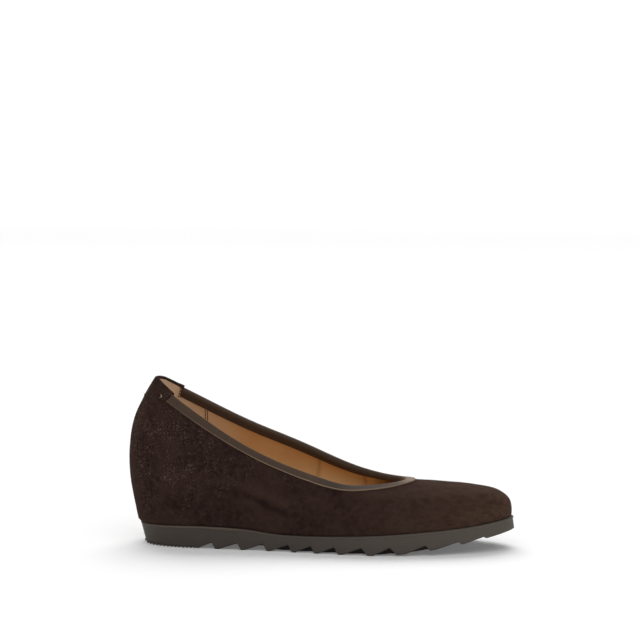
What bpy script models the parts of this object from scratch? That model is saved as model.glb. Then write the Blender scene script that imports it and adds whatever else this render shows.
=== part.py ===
"""Wedge ballet flat for the right foot: a suede upper over a hidden wedge on a saw-tooth rubber sole.

Metres, +X to the toe, +Y to the inner side of the foot, +Z up. The shoe stands on z = 0, with the
origin under the middle of its box. While the pieces are worked out, x runs from the heel and y from
the line of the heel, and the finished meshes are then set on the origin.
"""

import math
from collections import namedtuple

import bmesh
import bpy
import numpy as np

MM = 0.001

# Driving sizes of the last
LENGTH = 0.2505
BALL_WIDTH = 0.080
BACK_HEIGHT = 0.1061
THROAT_HEIGHT = 0.0428
HEEL_LIFT = 0.0362
TOE_SPRING = 0.0131

# Thicknesses and clearances
WALL = 0.0020
GAP = 0.0003
INSOLE = 0.0030
BINDING = 0.0008

# One row for each section of the last, from the toe round to the heel. Along is in percent of LENGTH and
# the lateral and medial places in percent of BALL_WIDTH. The foot is where the wall meets the sole, the
# top is the collar edge. A climb of 0 is THROAT_HEIGHT and of 100 is BACK_HEIGHT. A lean is in degrees off
# the vertical, outwards at the foot and inwards at the top, a pull is a handle's share of the wall, the belly
# is how far the wall is drawn out half-way up, in millimetres.
Section = namedtuple(
    "Section",
    "foot_along foot_lateral foot_medial top_along top_lateral top_medial"
    " climb_lateral climb_medial foot_lean top_lean foot_pull top_pull belly",
)
SECTIONS = (
    Section(99.4, 5.3, 5.3, 72.6, 3.0, 3.0, 0.0, 0.0, 5, 87.1, 0.14, 0.785, 0.3),
    Section(97.6, -10.6, 21.2, 71.8, -8.0, 13.5, 0.0, -0.5, 7, 85.3, 0.178, 0.588, 0.6),
    Section(92.8, -25.0, 35.0, 69.8, -17.5, 22.0, -0.4, -1.0, 8, 80.4, 0.203, 0.406, 1.1),
    Section(85.6, -37.0, 44.5, 66.9, -26.5, 30.2, -0.9, -1.2, 7, 75.5, 0.21, 0.34, 0.8),
    Section(76.0, -46.6, 49.2, 63.2, -34.6, 36.5, -0.9, 0.3, 7, 71.5, 0.23, 0.31, 0.4),
    Section(66.0, -50.6, 47.5, 57.8, -38.7, 38.2, 0.5, 5.9, 7, 62, 0.26, 0.28, 0.9),
    Section(55.2, -47.9, 41.0, 51.0, -38.0, 37.0, 7.7, 16.8, 8, 50, 0.29, 0.28, 0.9),
    Section(43.2, -42.5, 35.6, 42.0, -34.8, 33.8, 19.5, 33.0, 9, 38, 0.31, 0.30, 0.8),
    Section(31.2, -38.8, 34.4, 31.6, -31.0, 30.3, 37.5, 49.9, 9, 33, 0.32, 0.31, 0.8),
    Section(19.2, -36.2, 34.8, 21.4, -27.2, 26.5, 61.6, 69.0, 9, 31, 0.32, 0.32, 0.6),
    Section(8.8, -30.0, 29.5, 13.0, -22.4, 22.0, 84.0, 86.2, 10, 31, 0.33, 0.32, 0.0),
    Section(3.85, -16.9, 16.9, 8.05, -13.0, 13.0, 96.8, 96.8, 12, 32, 0.35, 0.30, -0.6),
    Section(2.3, 0.0, 0.0, 6.42, 0.0, 0.0, 100.0, 100.0, 12.9, 32.6, 0.36, 0.29, -0.9),
)
SIDE_STATIONS = 44
PROFILE_STEPS = 30

# Heel tab: the back of the collar stands past the binding and is a little thicker, with its ends here
TAB_LATERAL_END = 0.0316
TAB_MEDIAL_END = 0.0332
TAB_RISE = 0.0022
TAB_STEP = 0.0004
TAB_DEPTH = 0.0125
TAB_END_DEPTH = 0.0060
STEP_SLOPE = 0.0004

# Binding: how far its two legs reach down from the collar edge, outside and inside, and the form of its fold
OUTER_LEG = 0.0048
INNER_LEG = 0.0054
FOLD_HEIGHT = 0.0014
FOLD_ANGLES = (0, 45, 90, 135, 180)

# The rim of the sole, from heel to toe: along in millimetres from the heel, the height of its top, how far
# it stands out past the foot of the wall, and how far its lower edge is tucked in
Rim = namedtuple("Rim", "along top ledge tuck")
RIMS = (
    Rim(5.0, 14.2, -1.6, 3.2),
    Rim(20.0, 14.1, 0.2, 2.9),
    Rim(45.0, 14.6, 1.2, 2.2),
    Rim(73.0, 14.1, 1.3, 1.8),
    Rim(83.0, 13.5, 1.2, 1.6),
    Rim(93.0, 12.2, 1.1, 1.4),
    Rim(120.0, 10.9, 1.0, 1.0),
    Rim(150.0, 12.0, 0.9, 0.8),
    Rim(171.0, 13.2, 0.9, 0.6),
    Rim(194.0, 14.9, 0.9, 0.4),
    Rim(220.0, 17.0, 1.0, 0.0),
    Rim(240.0, 19.5, 1.2, -0.3),
    Rim(251.0, 21.1, 1.3, -0.5),
)
LIP_BEVEL = 0.0005
LIP_HEIGHT = 0.0008
LIP_UNDER = 0.0017
LIP_STEP = 0.0004

# Saw-tooth tread: where each steep face lands, the flat that follows it, the depth of the notch behind it and
# the length of the steep face, in millimetres along the sole from the heel
Tooth = namedtuple("Tooth", "crest land depth run")
TEETH = (
    Tooth(61.1, 2.2, 4.1, 2.2),
    Tooth(78.2, 2.0, 4.2, 2.4),
    Tooth(95.3, 2.0, 4.4, 2.4),
    Tooth(111.9, 2.0, 4.6, 2.4),
    Tooth(126.8, 2.4, 4.6, 2.4),
    Tooth(142.4, 2.6, 4.6, 2.6),
    Tooth(161.5, 3.0, 4.8, 4.0),
    Tooth(180.0, 5.5, 4.8, 4.4),
    Tooth(200.8, 3.5, 3.6, 2.8),
    Tooth(220.2, 2.0, 2.0, 1.9),
    Tooth(235.0, 1.8, 1.4, 1.4),
)
HEEL_BLOCK_END = 0.0490
INNER_NOTCH = 0.55
NOTCH_FADE = 0.014
SPRING_START = 0.166
SPRING_POWER = 1.5
HEEL_BEVEL = 0.0014
HEEL_BEVEL_LENGTH = 0.011
LONGEST_STATION = 0.008
END_STATIONS = 6
END_LENGTH = 0.018

# Top of the wedge, as a percentage of HEEL_LIFT at a percentage of LENGTH
Lift = namedtuple("Lift", "along share")
LIFTS = (
    Lift(2.0, 100.0),
    Lift(12.0, 97.5),
    Lift(20.0, 90.0),
    Lift(28.0, 75.5),
    Lift(36.0, 57.0),
    Lift(44.0, 37.5),
    Lift(52.0, 19.5),
    Lift(60.0, 6.5),
    Lift(66.0, 1.0),
    Lift(70.0, 0.0),
    Lift(100.0, 0.0),
)
WEDGE_FRONT = 0.146
WEDGE_LEVELS = 4
HEEL_CUP = 0.0015
CUP_END = 0.095


def column(table, name):
    return np.array([getattr(row, name) for row in table], float)


def slopes(knots, values, closed):
    """Slopes at the knots of the smoothest cubic curve through the values."""
    count = len(values)
    steps = np.diff(knots)
    rises = np.diff(np.append(values, values[0])) / steps if closed else np.diff(values) / steps
    system = np.zeros((count, count))
    right = np.zeros(count)
    for i in range(count):
        if not closed and i in (0, count - 1):
            inner = 1 if i == 0 else count - 2
            system[i, i] = 2.0
            system[i, inner] = 1.0
            right[i] = 3.0 * rises[0 if i == 0 else -1]
            continue
        before = 1.0 / steps[i - 1]
        after = 1.0 / steps[i]
        system[i, i - 1] += before
        system[i, i] += 2.0 * (before + after)
        system[i, (i + 1) % count] += after
        right[i] = 3.0 * (rises[i - 1] * before + rises[i] * after)
    return np.linalg.solve(system, right)


def smooth(knots, values, at, closed=False):
    """Values at the places in `at` on the smooth curve; a closed one has one knot more than values."""
    slope = slopes(knots, values, closed)
    if closed:
        values = np.append(values, values[0])
        slope = np.append(slope, slope[0])
    at = np.clip(at, knots[0], knots[-1])
    i = np.clip(np.searchsorted(knots, at, side="right") - 1, 0, len(knots) - 2)
    step = knots[i + 1] - knots[i]
    t = (at - knots[i]) / step
    start = values[i] * (1 + 2 * t) * (1 - t) ** 2 + slope[i] * step * t * (1 - t) ** 2
    end = values[i + 1] * t**2 * (3 - 2 * t) + slope[i + 1] * step * t**2 * (t - 1)
    return start + end


def rim(name, x):
    """A column of the sole's rim at x, in metres."""
    return smooth(column(RIMS, "along") * MM, column(RIMS, name) * MM, x)


def lift(x):
    """Height of the wedge's top over the sole at x."""
    share = smooth(column(LIFTS, "along"), column(LIFTS, "share"), x / LENGTH * 100)
    return HEEL_LIFT * np.maximum(share, 0.0) / 100


def both_sides(lateral, medial):
    """One column round the shoe: lateral from toe to heel, then medial back towards the toe."""
    return np.concatenate([lateral, medial[-2:0:-1]])


def outward(loop_x, loop_y):
    """Plan normals of a loop that runs from the toe by the lateral side."""
    along_x = np.roll(loop_x, -1) - np.roll(loop_x, 1)
    along_y = np.roll(loop_y, -1) - np.roll(loop_y, 1)
    size = np.hypot(along_x, along_y)
    return np.stack([-along_y / size, along_x / size, np.zeros_like(size)], axis=1)


def last_loops(side_stations):
    """Every column of SECTIONS as a smooth loop with this many stations on each side."""
    loops = {}
    foot_x = both_sides(column(SECTIONS, "foot_along"), column(SECTIONS, "foot_along")) * LENGTH / 100
    foot_y = both_sides(column(SECTIONS, "foot_lateral"), column(SECTIONS, "foot_medial")) * BALL_WIDTH / 100
    reach = np.hypot(np.diff(np.append(foot_x, foot_x[0])), np.diff(np.append(foot_y, foot_y[0])))
    knots = np.concatenate([[0.0], np.cumsum(reach)])
    heel = knots[len(SECTIONS) - 1]
    at = np.concatenate(
        [
            np.linspace(knots[0], heel, side_stations, endpoint=False),
            np.linspace(heel, knots[-1], side_stations, endpoint=False),
        ]
    )
    top_x = both_sides(column(SECTIONS, "top_along"), column(SECTIONS, "top_along")) * LENGTH / 100
    top_y = both_sides(column(SECTIONS, "top_lateral"), column(SECTIONS, "top_medial")) * BALL_WIDTH / 100
    climb = both_sides(column(SECTIONS, "climb_lateral"), column(SECTIONS, "climb_medial")) / 100
    top_z = THROAT_HEIGHT + climb * (BACK_HEIGHT - THROAT_HEIGHT)
    for name, values in (("foot_x", foot_x), ("foot_y", foot_y), ("top_x", top_x), ("top_y", top_y), ("top_z", top_z)):
        loops[name] = smooth(knots, values, at, closed=True)
    for name in ("foot_lean", "top_lean", "foot_pull", "top_pull", "belly"):
        values = both_sides(column(SECTIONS, name), column(SECTIONS, name))
        loops[name] = smooth(knots, values, at, closed=True)
    return loops


def bezier(start, start_handle, end_handle, end):
    """A cubic curve for every station, as points from its start to its end."""
    t = np.linspace(0.0, 1.0, PROFILE_STEPS + 1)[None, :, None]
    first = start[:, None] * (1 - t) ** 3 + start_handle[:, None] * 3 * t * (1 - t) ** 2
    return first + end_handle[:, None] * 3 * t**2 * (1 - t) + end[:, None] * t**3


class Shell:
    """The outside of the upper: a wall profile at every station round the last, with its normals."""

    def __init__(self):
        loops = last_loops(SIDE_STATIONS)
        self.count = 2 * SIDE_STATIONS
        foot_z = rim("top", loops["foot_x"]) + GAP
        foot = np.stack([loops["foot_x"], loops["foot_y"], foot_z], axis=1)
        top = np.stack([loops["top_x"], loops["top_y"], loops["top_z"]], axis=1)
        up = np.array([0.0, 0.0, 1.0])
        foot_lean = np.radians(loops["foot_lean"])[:, None]
        top_lean = np.radians(loops["top_lean"])[:, None]
        foot_way = np.cos(foot_lean) * up + np.sin(foot_lean) * outward(loops["foot_x"], loops["foot_y"])
        self.rise = np.cos(top_lean) * up - np.sin(top_lean) * outward(loops["top_x"], loops["top_y"])
        height = np.linalg.norm(top - foot, axis=1)[:, None]
        low = foot + foot_way * height * loops["foot_pull"][:, None]
        high = top - self.rise * height * loops["top_pull"][:, None]
        middle = (low + high) / 2 + outward(loops["foot_x"], loops["foot_y"]) * loops["belly"][:, None] * MM
        lower = (low + middle) / 2
        upper = (middle + high) / 2
        half = (lower + upper) / 2
        below = bezier(foot, low, lower, half)
        above = bezier(half, upper, high, top)
        self.wall = np.concatenate([below[:, :-1], above], axis=1)
        round_way = np.roll(self.wall, -1, axis=0) - np.roll(self.wall, 1, axis=0)
        normal = np.cross(np.gradient(self.wall, axis=1), round_way)
        self.normal = normal / np.linalg.norm(normal, axis=2, keepdims=True)
        lengths = np.linalg.norm(np.diff(self.wall, axis=1), axis=2)
        self.depth = np.zeros(self.wall.shape[:2])
        self.depth[:, :-1] = np.cumsum(lengths[:, ::-1], axis=1)[:, ::-1]
        self.reach = self.depth[:, 0]

    def at(self, station, depth, offset, down=0.0):
        """A point this far below the collar edge, moved down a share of the rest of the wall and out of it.

        A station may lie between two whole ones.
        """
        first = int(math.floor(station))
        share = station - first
        point = self.at_station(first % self.count, depth, offset, down)
        if share > 0:
            following = self.at_station((first + 1) % self.count, depth, offset, down)
            point = point * (1 - share) + following * share
        return point

    def at_station(self, i, depth, offset, down):
        depth = depth + (self.reach[i] - depth) * down
        depths = self.depth[i][::-1]
        inside = max(depth, 0.0)
        place = [np.interp(inside, depths, self.wall[i, ::-1, axis]) for axis in range(3)]
        normal = [np.interp(inside, depths, self.normal[i, ::-1, axis]) for axis in range(3)]
        return np.array(place) + np.array(normal) * offset - self.rise[i] * min(depth, 0.0)

    def spacing(self, station):
        """Distance along the collar edge from one whole station to the next."""
        i = int(station) % self.count
        return float(np.linalg.norm(self.wall[i, -1] - self.wall[(i + 1) % self.count, -1]))

    def station_at(self, x, medial):
        """The station, counted from the heel's end of one side, where the collar edge passes x."""
        half = self.count // 2
        stations = np.arange(half, self.count + 1) if medial else np.arange(half, -1, -1)
        edge = self.wall[stations % self.count, -1, 0]
        return float(np.interp(x, edge[: half // 2], stations[: half // 2]))


WALL_STEPS = 10
STEP_POWER = 0.8


class Upper:
    """The rings of the upper: out over the wall from the foot to the collar edge and down its inside."""

    def __init__(self, shell):
        self.shell = shell
        self.tab = (shell.station_at(TAB_LATERAL_END, False), shell.station_at(TAB_MEDIAL_END, True))
        self.blend = STEP_SLOPE / shell.spacing(self.tab[0])
        edges = []
        for end, inward in zip(self.tab, (1, -1)):
            edges += [end, end + inward * self.blend]
        self.stations = sorted([float(i) for i in range(shell.count)] + edges)
        self.rings = np.array([self.outer(s) + self.inner(s) for s in self.stations])

    def tab_share(self, station):
        """1 on the heel tab, 0 on the rest of the collar."""
        return float(self.tab[0] + self.blend / 2 < station < self.tab[1] - self.blend / 2)

    def tab_depth(self, station):
        """The tab's height on the outside: full at the back, the binding's at its ends."""
        middle = self.shell.count / 2
        half = self.tab[1] - middle
        away = min(abs(station - middle) / half, 1.0)
        return TAB_END_DEPTH + (TAB_DEPTH - TAB_END_DEPTH) * (1 - away**2)

    def steps_down(self, station, start, offset):
        """Points from below start down to the foot, closer together near the foot."""
        shares = (np.arange(1, WALL_STEPS + 1) / WALL_STEPS) ** STEP_POWER
        return [self.shell.at(station, start, offset, share) for share in shares]

    def outer(self, station):
        share = self.tab_share(station)
        depth = self.tab_depth(station)
        ring = self.steps_down(station, depth + STEP_SLOPE, 0.0)[::-1]
        ring.append(self.shell.at(station, depth + STEP_SLOPE, 0.0))
        ring += [self.shell.at(station, d, share * TAB_STEP) for d in (depth, depth / 2, -share * TAB_RISE)]
        return ring

    def inner(self, station):
        share = self.tab_share(station)
        ring = [self.shell.at(station, d, -WALL) for d in (-share * TAB_RISE, INNER_LEG / 2, INNER_LEG)]
        return ring + self.steps_down(station, INNER_LEG, -WALL)

    def inside_at(self, i, height):
        """The point of the inner wall of whole station i at this height, moved in by the clearance."""
        ring = self.rings[self.stations.index(float(i))]
        low = ring[: -WALL_STEPS - 2 : -1]
        place = np.array([np.interp(height, low[:, 2], low[:, axis]) for axis in range(3)])
        before = self.shell.wall[(i - 1) % self.shell.count, 0]
        after = self.shell.wall[(i + 1) % self.shell.count, 0]
        along = after - before
        inward = np.array([along[1], -along[0], 0.0]) / np.hypot(along[0], along[1])
        place[2] = height
        return place + inward * GAP


def make_solid(name, rings, material, closed=False):
    """One closed mesh through rings of points; a ring that is squeezed to a line closes that end by itself."""
    mesh = bpy.data.meshes.new(name)
    bm = bmesh.new()
    known = {}

    def vert(point):
        key = tuple(np.round(point, 8))
        if key not in known:
            known[key] = bm.verts.new(point)
        return known[key]

    grid = [[vert(point) for point in ring] for ring in rings]
    pairs = list(zip(grid, grid[1:] + grid[:1])) if closed else list(zip(grid, grid[1:]))
    for ring, following in pairs:
        for k in range(len(ring)):
            n = (k + 1) % len(ring)
            corners = list(dict.fromkeys([ring[k], ring[n], following[n], following[k]]))
            if len(corners) > 2 and bm.faces.get(corners) is None:
                bm.faces.new(corners)
    if not closed:
        for ring in (grid[0], grid[-1]):
            if len(set(ring)) == len(ring):
                bm.faces.new(ring)
    bmesh.ops.recalc_face_normals(bm, faces=bm.faces)
    bm.to_mesh(mesh)
    bm.free()
    mesh.shade_smooth()
    mesh.set_sharp_from_angle(angle=math.radians(35))
    mesh.materials.append(material)
    piece = bpy.data.objects.new(name, mesh)
    bpy.context.scene.collection.objects.link(piece)
    return piece


def finish(name, colour, roughness):
    """A plain material with a linear base colour."""
    material = bpy.data.materials.new(name)
    material.use_nodes = True
    shader = material.node_tree.nodes["Principled BSDF"]
    shader.inputs["Base Color"].default_value = (*colour, 1.0)
    shader.inputs["Roughness"].default_value = roughness
    return material


def tread_line():
    """Breakpoints of the saw-tooth along the sole and the depth of the notch at each."""
    places = [0.0, HEEL_BLOCK_END]
    depths = [0.0, 0.0]
    for tooth in TEETH:
        crest = tooth.crest * MM
        places += [crest - tooth.run * MM, crest, crest + tooth.land * MM]
        depths += [tooth.depth * MM, 0.0, 0.0]
    return np.array(places), np.array(depths)


def ground_line(x):
    """Height of the tread's crests: flat on the floor, rising at the toe and a little at the back of the heel."""
    spring = np.clip((x - SPRING_START) / (LENGTH - SPRING_START), 0.0, None) ** SPRING_POWER * TOE_SPRING
    back = (LENGTH * SECTIONS[-1].foot_along / 100) + RIMS[0].tuck * MM - RIMS[0].ledge * MM
    bevel = np.clip(1 - (x - back) / HEEL_BEVEL_LENGTH, 0.0, None) ** 2 * HEEL_BEVEL
    return spring + bevel


class SoleOutline:
    """The sole's plan outline at one level, as lateral and medial y for an x between its two ends."""

    def __init__(self, loops, inset):
        normal = outward(loops["foot_x"], loops["foot_y"])
        out = rim("ledge", loops["foot_x"]) - inset(loops["foot_x"])
        x = loops["foot_x"] + normal[:, 0] * out
        y = loops["foot_y"] + normal[:, 1] * out
        half = len(x) // 2
        self.lateral = (x[half::-1], y[half::-1])
        self.medial = (np.append(x[half:], x[0]), np.append(y[half:], y[0]))
        self.ends = (x[half], x[0])

    def pair(self, share):
        """The lateral and medial points at this share of the way from heel to toe."""
        x = self.ends[0] + (self.ends[1] - self.ends[0]) * share
        return x, np.interp(x, *self.lateral), np.interp(x, *self.medial)


def make_outsole(material):
    """The moulded unit: a rim with a lip, a tucked side, and saw-tooth notches that are deepest at the edges."""
    loops = last_loops(8 * SIDE_STATIONS)
    top = SoleOutline(loops, lambda x: np.full_like(x, LIP_BEVEL))
    lip = SoleOutline(loops, np.zeros_like)
    under = SoleOutline(loops, lambda x: np.full_like(x, LIP_STEP))
    edge = SoleOutline(loops, lambda x: rim("tuck", x))
    places, depths = tread_line()
    heel, toe = edge.ends
    ends = END_LENGTH * (np.arange(END_STATIONS) / END_STATIONS) ** 2
    stations = np.concatenate([heel + ends, toe - ends, places[(places > heel) & (places < toe)]])
    stations = np.unique(np.round(stations, 5))
    filled = [stations[0]]
    for x in stations[1:]:
        parts = math.ceil((x - filled[-1]) / LONGEST_STATION)
        filled += list(np.linspace(filled[-1], x, parts + 1)[1:])
    rings = []
    for station in filled:
        share = (station - heel) / (toe - heel)
        sides = []
        for outline, drop in ((top, 0.0), (lip, LIP_HEIGHT), (under, LIP_UNDER)):
            x, lateral, medial = outline.pair(share)
            height = float(rim("top", x)) - drop
            sides.append(((x, lateral, height), (x, medial, height)))
        x, lateral, medial = edge.pair(share)
        ground = float(ground_line(x))
        notch = float(np.interp(x, places, depths))
        fade = min(NOTCH_FADE, (medial - lateral) * 0.4)
        sides.append(((x, lateral, ground + notch), (x, medial, ground + notch)))
        inner = ground + notch * (INNER_NOTCH if fade == NOTCH_FADE else 1.0)
        sides.append(((x, lateral + fade, inner), (x, medial - fade, inner)))
        rings.append([side[0] for side in sides] + [side[1] for side in sides[::-1]])
    return make_solid("outsole", rings, material)


def floor_height(x):
    """Height of the insole's underside at x, over the wedge or over the sole."""
    return rim("top", x) + GAP + np.where(lift(x) > 0, lift(x) + GAP, 0.0)


def edge_pair(upper, i, height_at):
    """Points of the inner wall on both sides at station pair i, at the height that height_at gives for their x."""
    points = []
    for station in (i, (upper.shell.count - i) % upper.shell.count):
        x = upper.shell.wall[station, 0, 0]
        for _ in range(3):
            point = upper.inside_at(station, float(height_at(x)))
            x = point[0]
        points.append(point)
    return points


def make_wedge(upper, material):
    """The hidden wedge: its sides follow the inside of the wall, from the sole up to the heel seat."""
    rings = []
    for i in range(SIDE_STATIONS + 1):
        if upper.shell.wall[i, 0, 0] > WEDGE_FRONT:
            continue
        levels = []
        for level in np.linspace(0.0, 1.0, WEDGE_LEVELS):
            levels.append(edge_pair(upper, i, lambda x: rim("top", x) + GAP + level * (lift(x) - GAP)))
        rings.append([pair[0] for pair in levels] + [pair[1] for pair in levels[::-1]])
    return make_solid("wedge_heel", rings, material)


def make_insole(upper, material):
    """The footbed: wall to wall, with a shallow cup at the heel."""
    rings = []
    for i in range(SIDE_STATIONS + 1):
        under = edge_pair(upper, i, floor_height)
        over = edge_pair(upper, i, lambda x: floor_height(x) + INSOLE)
        width = over[1][1] - over[0][1]
        cup = HEEL_CUP * max(0.0, 1 - over[0][0] / CUP_END) * min(1.0, width / BALL_WIDTH * 2)
        across = []
        for share in (0.25, 0.5, 0.75):
            point = over[0] * (1 - share) + over[1] * share
            point[2] -= cup * 4 * share * (1 - share)
            across.append(point)
        rings.append([under[0], over[0], *across, over[1], under[1]])
    return make_solid("insole", rings, material)


def make_binding(upper, material):
    """The folded strip over the collar edge, open towards the wall, between the two ends of the heel tab."""
    shell = upper.shell
    clear = GAP / shell.spacing(upper.tab[0])
    start = upper.tab[1] + clear - shell.count
    end = upper.tab[0] - clear
    stations = [start, *range(math.ceil(start), math.floor(end) + 1), end]
    face = GAP + BINDING
    fold_width = WALL / 2 + face
    rings = []
    for station in stations:
        place = station % shell.count
        outside = [shell.at(place, d, face) for d in (OUTER_LEG, OUTER_LEG / 2)]
        for angle in np.radians(FOLD_ANGLES):
            outside.append(
                shell.at(place, -FOLD_HEIGHT * math.sin(angle), fold_width * math.cos(angle) - WALL / 2)
            )
        outside += [shell.at(place, d, -WALL - face) for d in (INNER_LEG / 2, INNER_LEG)]
        inside = [shell.at(place, d, -WALL - GAP) for d in (INNER_LEG, INNER_LEG / 2, -GAP)]
        inside += [shell.at(place, d, GAP) for d in (-GAP, OUTER_LEG / 2, OUTER_LEG)]
        rings.append(outside + inside)
    return make_solid("topline_binding", rings, material)


def stand_on_origin(pieces):
    """Sets the meshes so that the middle of their box is over the origin and the sole is on the floor."""
    points = np.concatenate([[vertex.co[:] for vertex in piece.data.vertices] for piece in pieces])
    low = points.min(axis=0)
    high = points.max(axis=0)
    for piece in pieces:
        for vertex in piece.data.vertices:
            vertex.co.x -= (low[0] + high[0]) / 2
            vertex.co.y -= (low[1] + high[1]) / 2
            vertex.co.z -= low[2]


def main():
    for piece in list(bpy.data.objects):
        bpy.data.objects.remove(piece)
    suede = finish("brown_suede", (0.028, 0.017, 0.013), 0.95)
    leather = finish("binding_leather", (0.062, 0.046, 0.036), 0.55)
    rubber = finish("sole_rubber", (0.048, 0.040, 0.034), 0.6)
    sock = finish("sock_leather", (0.34, 0.17, 0.07), 0.6)
    cork = finish("wedge_cork", (0.30, 0.20, 0.11), 0.85)
    shell = Shell()
    upper = Upper(shell)
    pieces = [
        make_outsole(rubber),
        make_wedge(upper, cork),
        make_insole(upper, sock),
        make_solid("upper", upper.rings, suede, closed=True),
        make_binding(upper, leather),
    ]
    stand_on_origin(pieces)


main()
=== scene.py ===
import math
from collections import namedtuple

import bmesh
import bpy
import numpy as np
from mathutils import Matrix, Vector


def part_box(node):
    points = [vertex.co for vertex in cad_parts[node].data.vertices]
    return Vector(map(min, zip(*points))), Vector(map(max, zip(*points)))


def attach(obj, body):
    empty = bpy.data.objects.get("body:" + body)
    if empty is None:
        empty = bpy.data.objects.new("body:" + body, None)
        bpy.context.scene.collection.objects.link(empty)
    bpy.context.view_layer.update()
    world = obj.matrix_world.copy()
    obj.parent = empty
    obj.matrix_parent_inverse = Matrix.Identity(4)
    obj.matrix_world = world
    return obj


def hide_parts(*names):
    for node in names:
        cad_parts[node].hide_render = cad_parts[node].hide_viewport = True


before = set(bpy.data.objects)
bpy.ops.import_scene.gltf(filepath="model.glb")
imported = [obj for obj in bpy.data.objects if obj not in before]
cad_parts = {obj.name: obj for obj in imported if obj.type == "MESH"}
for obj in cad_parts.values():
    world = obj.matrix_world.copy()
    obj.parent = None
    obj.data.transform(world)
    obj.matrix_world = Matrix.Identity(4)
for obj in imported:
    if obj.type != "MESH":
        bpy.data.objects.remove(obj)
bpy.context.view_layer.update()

# Outsole
# A moulded unit of brown-grey rubber, cemented under the upper. Its rim has a small lip, its side tucks in
# towards the floor, and saw-tooth notches cross the tread. They are deepest at the edges.
MM = 0.001
LENGTH = 0.2505
BALL_WIDTH = 0.080
BACK_HEIGHT = 0.1061
THROAT_HEIGHT = 0.0428
TOE_SPRING = 0.0131
GAP = 0.0003
SIDE_STATIONS = 176
COUNT = 2 * SIDE_STATIONS

# One row for each section of the last, from the toe round to the heel, in the same measures as the solids:
# along in percent of LENGTH, lateral and medial in percent of BALL_WIDTH, climbs in percent of the rise from
# throat to back, leans in degrees, pulls as shares of the wall and the belly in millimetres.
Section = namedtuple(
    "Section",
    "foot_along foot_lateral foot_medial top_along top_lateral top_medial"
    " climb_lateral climb_medial foot_lean top_lean foot_pull top_pull belly",
)
SECTIONS = (
    Section(99.4, 5.3, 5.3, 72.6, 3.0, 3.0, 0.0, 0.0, 5, 87.1, 0.14, 0.785, 0.3),
    Section(97.6, -10.6, 21.2, 71.8, -8.0, 13.5, 0.0, -0.5, 7, 85.3, 0.178, 0.588, 0.6),
    Section(92.8, -25.0, 35.0, 69.8, -17.5, 22.0, -0.4, -1.0, 8, 80.4, 0.203, 0.406, 1.1),
    Section(85.6, -37.0, 44.5, 66.9, -26.5, 30.2, -0.9, -1.2, 7, 75.5, 0.21, 0.34, 0.8),
    Section(76.0, -46.6, 49.2, 63.2, -34.6, 36.5, -0.9, 0.3, 7, 71.5, 0.23, 0.31, 0.4),
    Section(66.0, -50.6, 47.5, 57.8, -38.7, 38.2, 0.5, 5.9, 7, 62, 0.26, 0.28, 0.9),
    Section(55.2, -47.9, 41.0, 51.0, -38.0, 37.0, 7.7, 16.8, 8, 50, 0.29, 0.28, 0.9),
    Section(43.2, -42.5, 35.6, 42.0, -34.8, 33.8, 19.5, 33.0, 9, 38, 0.31, 0.30, 0.8),
    Section(31.2, -38.8, 34.4, 31.6, -31.0, 30.3, 37.5, 49.9, 9, 33, 0.32, 0.31, 0.8),
    Section(19.2, -36.2, 34.8, 21.4, -27.2, 26.5, 61.6, 69.0, 9, 31, 0.32, 0.32, 0.6),
    Section(8.8, -30.0, 29.5, 13.0, -22.4, 22.0, 84.0, 86.2, 10, 31, 0.33, 0.32, 0.0),
    Section(3.85, -16.9, 16.9, 8.05, -13.0, 13.0, 96.8, 96.8, 12, 32, 0.35, 0.30, -0.6),
    Section(2.3, 0.0, 0.0, 6.42, 0.0, 0.0, 100.0, 100.0, 12.9, 32.6, 0.36, 0.29, -0.9),
)
# The rim from heel to toe, in millimetres: along, height of its top, how far it stands out, tuck of its side
Rim = namedtuple("Rim", "along top ledge tuck")
RIMS = (
    Rim(5.0, 14.2, -1.6, 3.2),
    Rim(20.0, 14.1, 0.2, 2.9),
    Rim(45.0, 14.6, 1.2, 2.2),
    Rim(73.0, 14.1, 1.3, 1.8),
    Rim(83.0, 13.5, 1.2, 1.6),
    Rim(93.0, 12.2, 1.1, 1.4),
    Rim(120.0, 10.9, 1.0, 1.0),
    Rim(150.0, 12.0, 0.9, 0.8),
    Rim(171.0, 13.2, 0.9, 0.6),
    Rim(194.0, 14.9, 0.9, 0.4),
    Rim(220.0, 17.0, 1.0, 0.0),
    Rim(240.0, 19.5, 1.2, -0.3),
    Rim(251.0, 21.1, 1.3, -0.5),
)
# Each tooth in millimetres: where its steep face lands, the flat after it, the notch's depth, the face's run
Tooth = namedtuple("Tooth", "crest land depth run")
TEETH = (
    Tooth(61.1, 2.2, 4.1, 2.2),
    Tooth(78.2, 2.0, 4.2, 2.4),
    Tooth(95.3, 2.0, 4.4, 2.4),
    Tooth(111.9, 2.0, 4.6, 2.4),
    Tooth(126.8, 2.4, 4.6, 2.4),
    Tooth(142.4, 2.6, 4.6, 2.6),
    Tooth(161.5, 3.0, 4.8, 4.0),
    Tooth(180.0, 5.5, 4.8, 4.4),
    Tooth(200.8, 3.5, 3.6, 2.8),
    Tooth(220.2, 2.0, 2.0, 1.9),
    Tooth(235.0, 1.8, 1.4, 1.4),
)
HEEL_BLOCK_END = 0.0490
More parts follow.
